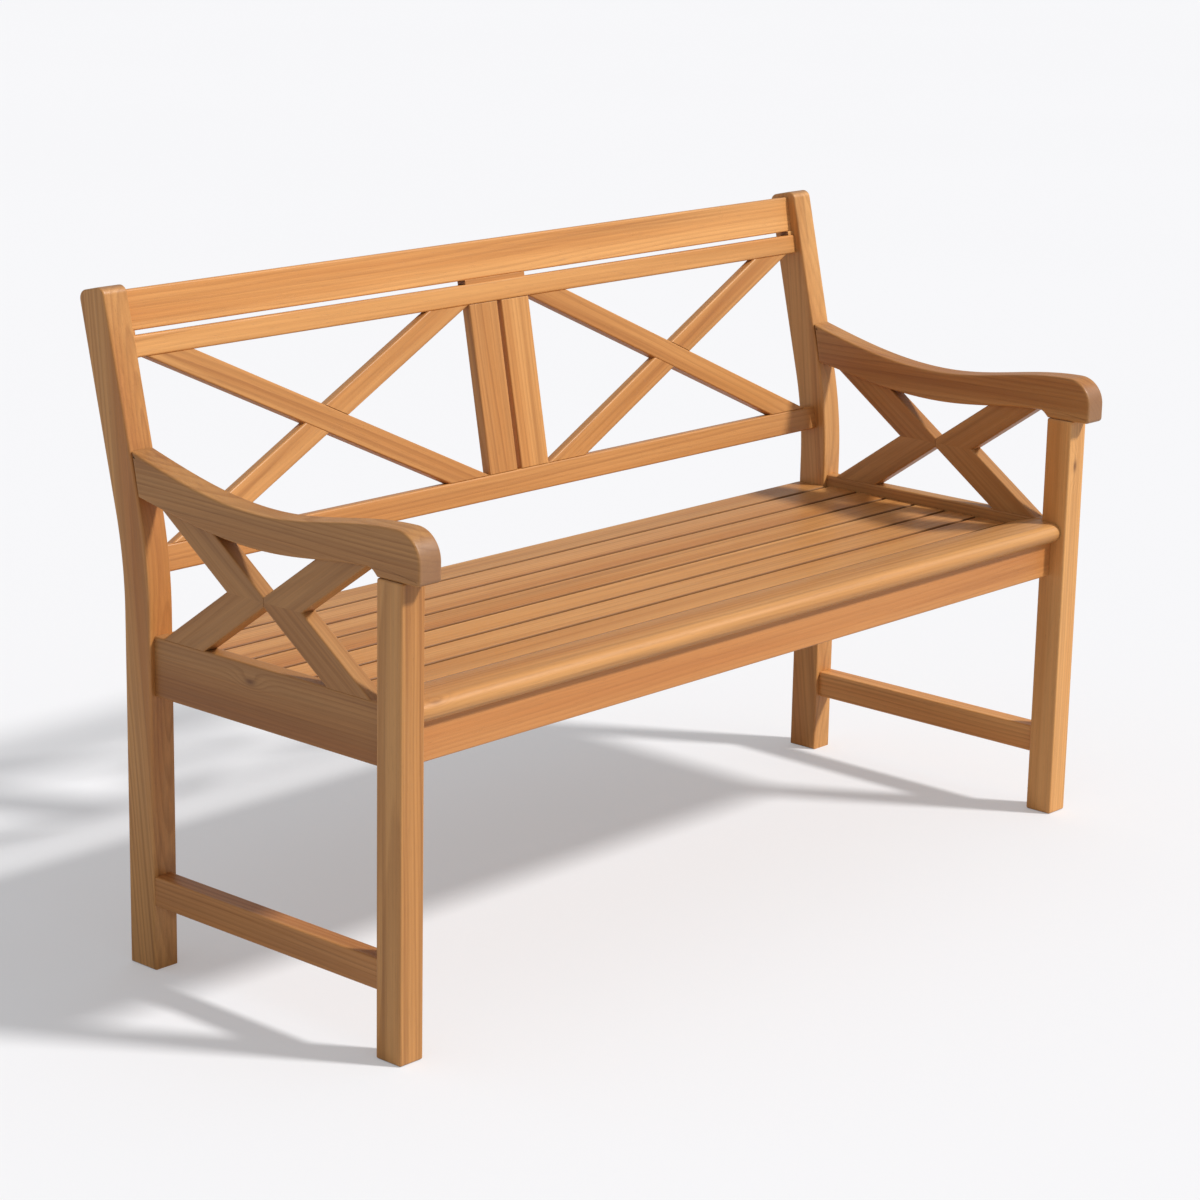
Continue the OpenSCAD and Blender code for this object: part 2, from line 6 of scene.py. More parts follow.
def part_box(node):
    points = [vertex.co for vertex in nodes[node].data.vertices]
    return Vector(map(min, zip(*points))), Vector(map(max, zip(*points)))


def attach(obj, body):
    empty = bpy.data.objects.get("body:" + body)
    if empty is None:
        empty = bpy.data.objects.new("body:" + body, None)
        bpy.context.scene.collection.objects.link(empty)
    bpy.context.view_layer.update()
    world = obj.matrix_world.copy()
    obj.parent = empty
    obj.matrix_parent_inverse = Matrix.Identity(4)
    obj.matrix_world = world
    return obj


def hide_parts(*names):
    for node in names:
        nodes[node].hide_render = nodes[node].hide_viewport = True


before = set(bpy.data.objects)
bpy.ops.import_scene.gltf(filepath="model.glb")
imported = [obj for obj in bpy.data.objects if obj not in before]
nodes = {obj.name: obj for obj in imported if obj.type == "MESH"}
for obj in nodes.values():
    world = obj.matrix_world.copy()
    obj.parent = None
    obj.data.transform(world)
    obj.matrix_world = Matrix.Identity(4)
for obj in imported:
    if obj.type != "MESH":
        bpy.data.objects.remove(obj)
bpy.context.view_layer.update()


def corners(node):
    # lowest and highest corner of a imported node, as arrays
    low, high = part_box(node)
    return np.array(low), np.array(high)


legLow, legHigh = corners("right_front_leg")
postLow, postHigh = corners("right_back_post")
front = legLow[1]             # front face of the legs
legIn, legOut = legLow[0], legHigh[0]
legMid = (legIn + legOut) / 2
legBack = legHigh[1]
postFront = postLow[1]


def rotated(angle):
    # plane rotation by an angle in degrees, for rows of points
    a = np.radians(angle)
    return np.array([[np.cos(a), np.sin(a)], [-np.sin(a), np.cos(a)]])


def arc(centre, radius, start, end, steps=10):
    # points centre + radius (cos t, sin t) for t running evenly from start to end degrees
    t = np.radians(np.linspace(start, end, steps + 1))
    return np.array(centre) + radius * np.stack([np.cos(t), np.sin(t)], 1)


def easedRectangle(width, height, radius, steps=5, flat=0.003):
    # Rectangle about the origin whose corners are quarter circles.
    # Each corner is a point on the flat, the arc and a point on the flat;
    # wearAndHighlight is 1 in the middle of the arc and 0 on the flats, a lighter mark on the rounded edges
    # that is partly real edge wear and partly painted highlight.
    t = np.linspace(0, 1, steps + 1)
    turn = t * np.pi / 2
    corner = radius * np.stack([np.cos(turn), np.sin(turn)], 1)
    one = np.concatenate([[[radius, -flat]], corner, [[-flat, radius]]])
    wearAndHighlight = np.concatenate([[0], 0.35 + 0.65 * np.sin(t * np.pi), [0]])
    x, y = width / 2 - radius, height / 2 - radius
    places = [(x, y, 0), (-x, y, 90), (-x, -y, 180), (x, -y, 270)]
    points = np.concatenate([one @ rotated(turn) + [cx, cy] for cx, cy, turn in places])
    return points, np.tile(wearAndHighlight, 4)


def drawnIn(outline, draw):
    # Every edge of the outline moves inwards by its own draw.
    # A corner goes to the crossing of its two moved edges,
    # or along their mean normal where they are nearly in line.
    edge = np.roll(outline, -1, 0) - outline
    normal = np.stack([edge[:, 1], -edge[:, 0]], 1) / np.linalg.norm(edge, axis=1)[:, None]
    before, drawBefore = np.roll(normal, 1, 0), np.roll(draw, 1)
    det = before[:, 0] * normal[:, 1] - before[:, 1] * normal[:, 0]
    sharp = np.abs(det) > 0.05
    safe = np.where(sharp, det, 1)
    crossing = np.stack([drawBefore * normal[:, 1] - draw * before[:, 1],
                         before[:, 0] * draw - normal[:, 0] * drawBefore], 1) / safe[:, None]
    mean = (before + normal) * (((draw + drawBefore) / 2) / (1 + (before * normal).sum(1)))[:, None]
    return outline - np.where(sharp[:, None], crossing, mean)


def area(outline):
    # signed area, half the sum of x y' - x' y over the edges; positive runs anticlockwise
    nxt = np.roll(outline, -1, 0)
    return (outline[:, 0] * nxt[:, 1] - nxt[:, 0] * outline[:, 1]).sum() / 2


def slab(outline, low, high, ease, share=None, wearAndHighlight=None, steps=5, flat=0.003):
    # A closed outline carried from low to high, with its rim rounded at both faces.
    # Layer by layer the outline draws in by ease (1 - cos a) while the depth goes as ease (1 - sin a).
    # share scales the draw of single edges, wearAndHighlight marks outline points for the lighter edge,
    # partly real edge wear and partly painted highlight. Returns points, faces and wearAndHighlight.
    outline = np.array(outline, float)
    if area(outline) < 0:
        outline = outline[::-1]
        share = None if share is None else np.roll(np.array(share)[::-1], -1)
        wearAndHighlight = None if wearAndHighlight is None else np.array(wearAndHighlight)[::-1]
    n = len(outline)
    share = np.ones(n) if share is None else np.array(share, float)
    wearAndHighlight = np.zeros(n) if wearAndHighlight is None else np.array(wearAndHighlight, float)
    a = np.linspace(np.pi / 2, 0, steps + 1)
    draw = np.concatenate([[ease + flat], ease * (1 - np.cos(a)), [0]])
    depth = np.concatenate([[0], ease * (1 - np.sin(a)), [ease + flat]])
    # rim marks each rounding for the lighter edge, partly real edge wear and partly painted highlight
    rim = np.concatenate([[0], 0.35 + 0.65 * np.sin(2 * a), [0]])
    draw, rim = np.concatenate([draw, draw[::-1]]), np.concatenate([rim, rim[::-1]])
    level = np.concatenate([low + depth, high - depth[::-1]])
    rings = np.stack([np.column_stack([drawnIn(outline, d * share), np.full(n, z)])
                      for d, z in zip(draw, level)])
    layer, i = np.meshgrid(np.arange(len(draw) - 1), np.arange(n), indexing="ij")
    j = (i + 1) % n
    above = layer + 1
    quads = np.stack([layer * n + i, layer * n + j, above * n + j, above * n + i], -1).reshape(-1, 4)
    last = (len(draw) - 1) * n
    faces = quads.tolist() + [list(range(n))[::-1], list(range(last, last + n))]
    wearAndHighlightMarks = np.maximum(rim[:, None] * np.minimum(1, share * 3)[None, :], wearAndHighlight[None, :])
    return rings.reshape(-1, 3), faces, wearAndHighlightMarks.ravel()


def turned(shape, basis, origin=(0, 0, 0)):
    # local axes become the rows of basis; a left-handed basis turns the faces round
    points, faces, wearAndHighlightMarks = shape
    basis = np.array(basis, float)
    if np.linalg.det(basis) < 0:
        faces = [f[::-1] for f in faces]
    return points @ basis + np.array(origin), faces, wearAndHighlightMarks


acrossX = [[0, 1, 0], [0, 0, 1], [1, 0, 0]]    # outline in y and z, carried along x
acrossY = [[1, 0, 0], [0, 0, 1], [0, 1, 0]]    # outline in x and z, carried along y
acrossZ = [[1, 0, 0], [0, 1, 0], [0, 0, 1]]    # outline in x and y, carried along z


def bar(low, high, axis, radius=0.003, end=0.0007):
    # Straight bar between two corners, its section an eased rectangle carried along the axis.
    low, high = np.array(low, float), np.array(high, float)
    basis = {"x": acrossX, "y": acrossY, "z": acrossZ}[axis]
    size, mid = (high - low) @ np.array(basis).T, (high + low) / 2
    flat = min(0.003, (min(size[:2]) / 2 - radius) / 2)
    outline, wearAndHighlight = easedRectangle(size[0], size[1], radius, flat=flat)
    return turned(slab(outline, -size[2] / 2, size[2] / 2, end, wearAndHighlight=wearAndHighlight, steps=2, flat=0.001), basis, mid)


def mirrored(shape):
    # x changes sign and the faces turn round
    points, faces, wearAndHighlightMarks = shape
    return points * [-1, 1, 1], [f[::-1] for f in faces], wearAndHighlightMarks


timber = {
    "light": (0.640, 0.322, 0.108),
    "mid": (0.500, 0.212, 0.056),
    "dark": (0.225, 0.075, 0.014),
    "red": (0.440, 0.145, 0.042),
    "end": (0.270, 0.140, 0.072),
    # pore colour, also used for the painted shade beside the slat gaps
    "pore": (0.160, 0.062, 0.018),
    "knot": (0.150, 0.055, 0.018),
    "ringPitch": 0.0062,        # metres between growth rings
    "ringShade": 0.42,
    "knotRadius": 0.0042,
    "knotReach": 0.013,         # how far round a knot the rings swerve
    "knotPush": 0.016,
    "streakShade": 0.75,
    "roughness": 0.42,
    "coat": 0.05,
    # how much the rounded edges are lightened: partly real edge wear, partly painted highlight
    "wearAndHighlightLift": 0.12,
    # strength of the painted shade on the slat edges beside a gap
    "paintedGapShadeStrength": 0.80,           # how dark the edges beside a slat gap are
    "bump": 0.30,
}


class Tree:
    # short hand for building a node tree
    def __init__(self, tree):
        self.tree = tree
        tree.nodes.clear()

    def add(self, kind, inputs=None, **settings):
        node = self.tree.nodes.new(kind)
        for key, value in settings.items():
            setattr(node, key, value)
        for key, value in (inputs or {}).items():
            if isinstance(value, bpy.types.NodeSocket):
                self.tree.links.new(value, node.inputs[key])
            else:
                node.inputs[key].default_value = value
        return node

    def math(self, operation, a, b=0.0, c=0.0, clamp=False):
        return self.add("ShaderNodeMath", {0: a, 1: b, 2: c}, operation=operation, use_clamp=clamp).outputs[0]

    def bell(self, distance, width):
        # exp(-(distance / width)^2)
        square = self.math("POWER", self.math("DIVIDE", distance, width), 2.0)
        return self.math("EXPONENT", self.math("MULTIPLY", square, -1.0))

    def vector(self, operation, a, b=(0, 0, 0)):
        node = self.add("ShaderNodeVectorMath", {0: a, 1: b}, operation=operation)
        return node.outputs["Value" if operation in ("LENGTH", "DISTANCE") else 0]

    def noise(self, place, scale, detail=2.0, roughness=0.5):
        stretched = self.vector("MULTIPLY", place, scale)
        return self.add("ShaderNodeTexNoise", {"Vector": stretched, "Scale": 1.0, "Detail": detail,
                                               "Roughness": roughness}).outputs["Fac"]

    def span(self, value, low, high, to=(0.0, 1.0)):
        return self.add("ShaderNodeMapRange", {0: value, 1: low, 2: high, 3: to[0], 4: to[1]},
                        interpolation_type="SMOOTHSTEP").outputs[0]

    def mix(self, factor, a, b, blend="MIX"):
        node = self.add("ShaderNodeMix", {0: factor}, data_type="RGBA", blend_type=blend)
        for socket, value in ((node.inputs[6], a), (node.inputs[7], b)):
            if isinstance(value, bpy.types.NodeSocket):
                self.tree.links.new(value, socket)
            else:
                socket.default_value = (*value, 1.0)
        return node.outputs[2]


def timberMaterial(name, axis=None, tone=(0.0, 0.0, 0.5)):
    # Oiled straight-grained hardwood, worked out in the solid:
    # place is metres along, across and through the board.
    # Rings are the fraction of the distance from the heart over the ring pitch,
    # pushed about by long noises;
    # streaks, fibres and pores are noises stretched along the board. With an axis it reads object places,
    # without one the piece's own grain, tone, knot, wearAndHighlight, ends and paintedGapShade attributes.
    # wearAndHighlight lightens the rounded edges, partly real edge wear and partly painted highlight;
    # paintedGapShade is painted shade on the slat edges beside the gaps.
    material = bpy.data.materials.new(name)
    material.use_nodes = True
    t = Tree(material.node_tree)
    v = timber
    if axis is None:
        place = t.add("ShaderNodeAttribute", attribute_name="grain").outputs["Vector"]
        toneSocket = t.add("ShaderNodeAttribute", attribute_name="tone").outputs["Vector"]
        knot = t.add("ShaderNodeAttribute", attribute_name="knot").outputs["Vector"]
        wearAndHighlight = t.add("ShaderNodeAttribute", attribute_name="wearAndHighlight").outputs["Fac"]
        ends = t.add("ShaderNodeAttribute", attribute_name="ends").outputs["Fac"]
        paintedGapShade = t.add("ShaderNodeAttribute", attribute_name="paintedGapShade").outputs["Fac"]
    else:
        source = t.add("ShaderNodeTexCoord").outputs["Object"]
        turn = {"x": (0, 0, 0), "y": (0, 0, -np.pi / 2), "z": (0, np.pi / 2, 0)}[axis]
        place = t.add("ShaderNodeMapping", {"Vector": source, "Location": (3.1, 0.09, 0.05),
                                            "Rotation": turn}).outputs[0]
        toneSocket = t.add("ShaderNodeCombineXYZ", {0: tone[0], 1: tone[1], 2: tone[2]}).outputs[0]
        knot, wearAndHighlight, ends = None, 0.0, 0.0
    lightness, redness, figure = t.add("ShaderNodeSeparateXYZ", {0: toneSocket}).outputs

    # growth rings about the heart of the tree
    longNoise = t.noise(place, (1.1, 8.0, 8.0), 2.0)
    waver = t.noise(place, (6.0, 55.0, 55.0), 2.0)
    parts = t.add("ShaderNodeSeparateXYZ", {0: place}).outputs
    across = t.math("MULTIPLY_ADD", t.math("SUBTRACT", longNoise, 0.5), 0.030, parts[1])
    flatAcross = t.add("ShaderNodeCombineXYZ", {0: 0.0, 1: across, 2: parts[2]}).outputs[0]
    radius = t.vector("LENGTH", flatAcross)
    radius = t.math("MULTIPLY_ADD", parts[0], 0.010, radius)
    radius = t.math("MULTIPLY_ADD", t.math("SUBTRACT", waver, 0.5), 0.0035, radius)
    if knot is not None:
        squeeze = (0.45, 1.0, 1.0)
        reach = t.vector("DISTANCE", t.vector("MULTIPLY", place, squeeze),
                         t.vector("MULTIPLY", knot, squeeze))
        swell = t.bell(reach, v["knotReach"])
        core = t.bell(reach, v["knotRadius"])
        radius = t.math("MULTIPLY_ADD", swell, v["knotPush"], radius)
    turns = t.math("DIVIDE", radius, v["ringPitch"])
    phase = t.math("FRACT", turns)
    whole = t.math("FLOOR", turns)
    rise = t.span(phase, 0.25, 0.86)
    fall = t.span(phase, 0.86, 1.0, (1.0, 0.0))
    ring = t.math("MULTIPLY", rise, fall)
    # every ring has its own strength
    each = t.add("ShaderNodeTexWhiteNoise", {"W": whole}, noise_dimensions="1D").outputs["Value"]
    ring = t.math("MULTIPLY", ring, t.math("MULTIPLY_ADD", each, 0.8, 0.2))
    ring = t.math("MULTIPLY", ring, figure)

    # streaks, fibres and pores
    broad = t.noise(place, (0.45, 17.0, 17.0), 3.0, 0.55)
    streak = t.noise(place, (1.1, 70.0, 70.0), 3.0, 0.6)
    fine = t.noise(place, (5.0, 420.0, 420.0), 2.0, 0.6)
    fibre = t.noise(place, (14.0, 1500.0, 1500.0), 2.0, 0.7)
    pore = t.span(t.noise(place, (38.0, 1900.0, 1900.0), 1.0), 0.66, 0.76)

    colour = t.mix(t.span(broad, 0.34, 0.68), v["light"], v["mid"])
    colour = t.mix(t.math("MULTIPLY", t.span(streak, 0.47, 0.74), v["streakShade"] * 0.55), colour, v["dark"])
    colour = t.mix(t.math("MULTIPLY", ring, v["ringShade"]), colour, v["dark"])
    redBand = t.math("MULTIPLY", t.span(broad, 0.55, 0.8), 0.25)
    redShare = t.math("MULTIPLY_ADD", redness, 0.5, redBand, clamp=True)
    colour = t.mix(redShare, colour, v["red"])
    shade = t.math("MULTIPLY_ADD", t.math("SUBTRACT", fine, 0.5), 0.34,
                   t.math("MULTIPLY_ADD", lightness, 0.30, 1.0))
    shade = t.math("MULTIPLY_ADD", t.math("SUBTRACT", fibre, 0.5), 0.14, shade)
    grey = t.add("ShaderNodeCombineColor", {0: shade, 1: shade, 2: shade}).outputs[0]
    colour = t.mix(1.0, colour, grey, "MULTIPLY")
    colour = t.mix(t.math("MULTIPLY", pore, 0.35), colour, v["pore"])
    if knot is not None:
        colour = t.mix(t.math("MULTIPLY", core, 0.85), colour, v["knot"])
    if axis is None:
        colour = t.mix(t.math("MULTIPLY", ends, 0.75), colour, v["end"])
        # rounded edges painted lighter: partly real edge wear, partly painted highlight
        pale = tuple(min(1.0, c * 1.22) for c in v["light"])
        colour = t.mix(t.math("MULTIPLY", wearAndHighlight, v["wearAndHighlightLift"]), colour, pale)
        # painted shade on the slat edges beside the gaps, in the pore colour
        colour = t.mix(t.math("MULTIPLY", paintedGapShade, v["paintedGapShadeStrength"]), colour, v["pore"])

    roughness = t.math("MULTIPLY_ADD", t.math("SUBTRACT", fine, 0.5), 0.20, v["roughness"])
    roughness = t.math("MULTIPLY_ADD", ring, 0.08, roughness)
    roughness = t.math("MULTIPLY_ADD", wearAndHighlight, -0.06, roughness) if axis is None else roughness
    height = t.math("MULTIPLY_ADD", pore, -0.6, fibre)
    height = t.math("MULTIPLY_ADD", ring, 0.5, height)
    height = t.math("MULTIPLY_ADD", t.noise(place, (3.0, 28.0, 28.0), 1.0), 1.2, height)
    bump = t.add("ShaderNodeBump", {"Strength": v["bump"], "Distance": 0.0006, "Height": height}).outputs[0]
    shader = t.add("ShaderNodeBsdfPrincipled", {"Base Color": colour, "Roughness": roughness, "Normal": bump,
                                                "IOR": 1.42, "Coat Weight": v["coat"], "Coat Roughness": 0.28,
                                                "Coat IOR": 1.5})
    t.add("ShaderNodeOutputMaterial", {"Surface": shader.outputs[0]})
    return material


boardTimber = timberMaterial("boardTimber")
hiddenTimber = {axis: timberMaterial("hiddenTimber" + axis.upper(), axis, (-0.15, 0.1, 0.6))
                for axis in "xyz"}


def steelMaterial():
    # brushed shank steel: fine noise turned round the screw sets the roughness
    material = bpy.data.materials.new("screwSteel")
    material.use_nodes = True
    t = Tree(material.node_tree)
    place = t.add("ShaderNodeTexCoord").outputs["Object"]
    grainNoise = t.noise(place, (900.0, 900.0, 120.0), 2.0)
    colour = t.mix(t.span(grainNoise, 0.3, 0.7), (0.50, 0.50, 0.49), (0.66, 0.66, 0.65))
    roughness = t.math("MULTIPLY_ADD", grainNoise, 0.25, 0.22)
    bump = t.add("ShaderNodeBump", {"Strength": 0.2, "Distance": 0.0002, "Height": grainNoise}).outputs[0]
    shader = t.add("ShaderNodeBsdfPrincipled", {"Base Color": colour, "Roughness": roughness, "Metallic": 1.0,
                                                "Normal": bump})
    t.add("ShaderNodeOutputMaterial", {"Surface": shader.outputs[0]})
    return material


print("finishes made")


# lightness, redness and ring strength of each board
tones = {
    "left_front_leg": (-0.2, 0.1, 0.9), "right_front_leg": (0.55, 0.0, 0.6),
    "left_back_post": (-0.15, 0.1, 0.9), "right_back_post": (0.05, 0.1, 0.7),
    "left_arm": (-0.9, 0.35, 1.0), "right_arm": (-0.55, 0.3, 0.9),
    "left_side_rail": (-1.0, 0.4, 0.9), "right_side_rail": (-0.5, 0.2, 0.9),
    "left_stretcher": (-0.2, 0.6, 1.0), "right_stretcher": (1.0, 0.1, 0.8),
    "left_brace_front_top": (-0.95, 0.35, 0.8), "left_brace_front_low": (-0.95, 0.35, 0.8),
    "left_brace_back_top": (-0.95, 0.35, 0.8), "left_brace_back_low": (-0.95, 0.35, 0.8),
    "right_brace_front_top": (-0.6, 0.2, 0.8), "right_brace_front_low": (-0.6, 0.2, 0.8),
    "right_brace_back_top": (-0.6, 0.2, 0.8), "right_brace_back_low": (-0.6, 0.2, 0.8),
    "front_rail": (0.35, 0.75, 0.6), "seat_slat_1": (-0.05, 0.1, 0.8), "seat_slat_8": (-0.1, 0.0, 0.8),
    "top_rail": (0.6, 0.1, 0.7), "upper_rail": (0.35, 0.0, 0.7), "lower_rail": (0.0, 0.25, 0.8),
    "left_stile": (0.0, 0.2, 1.0), "right_stile": (0.3, 0.05, 0.8),
}
# the few small knots, as places on the boards
knots = {"seat_slat_1": (-0.649, -0.272, 0.4585), "right_front_leg": (0.6964, front, 0.549),
         "left_side_rail": (-0.712, -0.0015, 0.4373), "left_brace_back_top": (-0.712, 0.0143, 0.5165)}
made = {}


def board(name, shape, along, across, order):
    # Makes the piece and its wearAndHighlight attribute and keeps its axes and order, from which finishBoard
    # later makes grain, the place in metres along, across and through the board, counted from a point of the
    # log that order picks, and ends, 1 on faces cut across the fibres.
    points, faces, wearAndHighlightMarks = shape
    mesh = bpy.data.meshes.new(name)
    mesh.from_pydata(points.tolist(), [], faces)
    piece = bpy.data.objects.new(name, mesh)
    bpy.context.scene.collection.objects.link(piece)
    # the lighter-edge mark, partly real edge wear and partly painted highlight
    attribute = mesh.attributes.new("wearAndHighlight", "FLOAT", "POINT")
    attribute.data.foreach_set("value", np.asarray(wearAndHighlightMarks, np.float32))
    made[name] = (piece, along, across, order)
    return piece


def unit(v):
    # v over its length
    v = np.array(v, float)
    return v / np.linalg.norm(v)


noKnot = (90.0, 90.0, 90.0)      # far outside every board


def vectorAttribute(mesh, name, rows):
    # one vector for each vertex
    layer = mesh.attributes.new(name, "FLOAT_VECTOR", "POINT")
    layer.data.foreach_set("vector", np.asarray(rows, np.float32).ravel())


def finishBoard(name):
    # place = (point - middle of the piece) on the board's own axes + the heart's offset
    piece, along, across, order = made[name]
    mesh = piece.data
    rng = np.random.default_rng(1000 + order)
    along, across = unit(along), np.array(across, float)
    across = unit(across - along * (across @ along))
    axes = np.stack([along, across, np.cross(along, across)])
    co = np.empty(len(mesh.vertices) * 3, np.float32)
    mesh.vertices.foreach_get("co", co)
    co = co.reshape(-1, 3).astype(float)
    middle = (co.min(0) + co.max(0)) / 2
    heart = np.array([rng.uniform(-6, 6), rng.uniform(0.05, 0.13) * rng.choice([-1, 1]),
                      rng.uniform(-0.06, 0.06)])
    place = (co - middle) @ axes.T + heart
    vectorAttribute(mesh, "grain", place)
    tone = tones.get(name, (rng.uniform(-0.12, 0.18), rng.uniform(0, 0.25), rng.uniform(0.45, 0.95)))
    vectorAttribute(mesh, "tone", np.tile(tone, (len(co), 1)))
    spot = (np.array(knots[name]) - middle) @ axes.T + heart if name in knots else noKnot
    vectorAttribute(mesh, "knot", np.tile(spot, (len(co), 1)))
    normal = np.empty(len(mesh.polygons) * 3, np.float32)
    mesh.polygons.foreach_get("normal", normal)
    cut = np.clip((np.abs(normal.reshape(-1, 3) @ along) - 0.55) / 0.35, 0, 1)
    mesh.attributes.new("ends", "FLOAT", "FACE").data.foreach_set("value", cut.astype(np.float32))
    # painted shade for the slat edges beside the gaps: 1 where a vertex faces along y
    edge = np.zeros(len(co))
    if name.startswith("seat_slat"):
        facing = np.empty(len(co) * 3, np.float32)
        mesh.vertex_normals.foreach_get("vector", facing)
        edge = np.clip((np.abs(facing.reshape(-1, 3)[:, 1]) - 0.30) / 0.25, 0, 1)
        if name == "seat_slat_1":
            edge *= co[:, 1] > legBack + 0.02        # only its back edge
        # the lighter edge is taken off where the painted gap shade lies
        wearAndHighlightMarks = np.empty(len(co), np.float32)
        mesh.attributes["wearAndHighlight"].data.foreach_get("value", wearAndHighlightMarks)
        mesh.attributes["wearAndHighlight"].data.foreach_set("value", wearAndHighlightMarks * (edge < 0.01).astype(np.float32))
    mesh.attributes.new("paintedGapShade", "FLOAT", "POINT").data.foreach_set("value", edge.astype(np.float32))
    mesh.materials.append(boardTimber)
    mesh.polygons.foreach_set("use_smooth", np.ones(len(mesh.polygons), bool))
    mesh.set_sharp_from_angle(angle=np.radians(32))
    weighted = piece.modifiers.new("evenShading", "WEIGHTED_NORMAL")
    weighted.keep_sharp = True
    weighted.weight = 60
    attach(piece, "root")
    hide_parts(name)
    piece.name = name + "_board"
    return piece


def cutAway(piece, cutters):
    # takes plain blocks out of a piece; each cutter is points and faces
    for points, faces in cutters:
        mesh = bpy.data.meshes.new("cutter")
        mesh.from_pydata(np.asarray(points).tolist(), [], faces)
        cutter = bpy.data.objects.new("cutter", mesh)
        bpy.context.scene.collection.objects.link(cutter)
        modifier = piece.modifiers.new("cut", "BOOLEAN")
        modifier.operation, modifier.solver, modifier.object = "DIFFERENCE", "EXACT", cutter
        bpy.context.view_layer.objects.active = piece
        bpy.ops.object.modifier_apply(modifier=modifier.name)
        bpy.data.objects.remove(cutter)


def block(low, high):
    # eight corners of a box and its six outward faces
    x, y, z = zip(low, high)
    points = np.array([[x[i], y[j], z[k]] for k in (0, 1) for j in (0, 1) for i in (0, 1)])
    faces = [(0, 2, 3, 1), (4, 5, 7, 6), (0, 1, 5, 4), (2, 6, 7, 3), (0, 4, 6, 2), (1, 3, 7, 5)]
    return points, faces


def bothSides(name, shape, along, across, order):
    # a right-hand piece and its mirror image
    board("right_" + name, shape, along, across, order)
    flip = np.array([-1, 1, 1])
    board("left_" + name, mirrored(shape), np.array(along) * flip, np.array(across) * flip, order + 1)


# legs and posts
legs = {"ease": 0.003, "footEase": 0.003, "armUnder": 0.619, "rake": 13.2, "bendRadius": 0.590,
        "depth": 0.050, "bendZ": 0.553, "straightEnd": 0.02, "topRadius": 0.012, "top": postHigh[2]}


def legShape():
    # eased rectangle carried from the ground to the arm
    outline, wearAndHighlight = easedRectangle(legOut - legIn, legBack - front, legs["ease"])
    shape = slab(outline, 0, legs["armUnder"], legs["footEase"], wearAndHighlight=wearAndHighlight, steps=4)
    return turned(shape, acrossZ, (legMid, (front + legBack) / 2, 0))


def postOutline(steps=28):
    # Side of a back post: two upright lines to the bend, two arcs about one centre behind it,
    # then straight lines at the rake up to a square top with rounded corners.
    r, d, rake = legs["bendRadius"], legs["depth"], np.radians(legs["rake"])
    back = postFront + d
    centre = np.array([back + r, legs["bendZ"] - r * np.tan(rake / 2)])
    up, out = np.array([np.sin(rake), np.cos(rake)]), np.array([np.cos(rake), -np.sin(rake)])
    frontBend = centre + (r + d) * np.array([-np.cos(rake), np.sin(rake)])
    rise = legs["top"] + legs["topRadius"] * (np.sin(rake) + np.cos(rake) - 1) - frontBend[1]
    frontTop = frontBend + up * rise / np.cos(rake)
    backTop = frontTop + out * d
    k = legs["topRadius"]
    lean = legs["rake"]
    return np.concatenate([
        [[postFront, 0], [postFront, centre[1] - legs["straightEnd"]]],
        arc(centre, r + d, 180, 180 - lean, steps),
        arc(frontTop + out * k - up * k, k, 180 - lean, 90 - lean, 10),
        arc(backTop - out * k - up * k, k, 90 - lean, -lean, 10),
        arc(centre, r, 180 - lean, 180, steps),
        [[back, centre[1] - legs["straightEnd"]], [back, 0]]]), frontBend, up


postSide, postBend, postUp = postOutline()
bothSides("front_leg", legShape(), (0, 0, 1), (1, 0.4, 0), 10)
postShape = turned(slab(postSide, legIn, legOut, legs["ease"]), acrossX)
bothSides("back_post", postShape, (0, 0.11, 1), (0.3, 1, 0), 12)


def postFrontAt(z):
    # front face of the leaning part at a height: a straight line from the bend
    return postBend[0] + (z - postBend[1]) * postUp[0] / postUp[1]


# arms
arms = {"width": 0.038, "height": 0.684, "nose": 0.029, "noseRadius": 0.039, "frontDepth": 0.065,
        "midDepth": 0.046, "dip": 0.0245, "rise": 0.018, "swell": 0.008, "lip": 0.006, "step": 0.016,
        "end": 0.08, "ease": 0.0035}
bayMid = (legBack + postFront) / 2


def armTop(y):
    # half a cosine wave down to the hollow, then a quarter wave that keeps rising to the post
    start = front - arms["nose"] + arms["noseRadius"]
    end = postFront + 0.035
    down = (1 - np.cos(np.pi * np.clip((y - start) / (bayMid - start), 0, 1))) / 2
    up = 1 - np.cos(np.pi / 2 * (y - bayMid) / (end - bayMid))
    return arms["height"] - arms["dip"] * down + np.where(y > bayMid, (arms["dip"] + arms["rise"]) * up, 0)


def armLow(y):
    # the top less the depth, which grows with the square of the distance from the hollow
    return armTop(y) - arms["midDepth"] - arms["swell"] * ((y - bayMid) / (postFront - bayMid)) ** 2


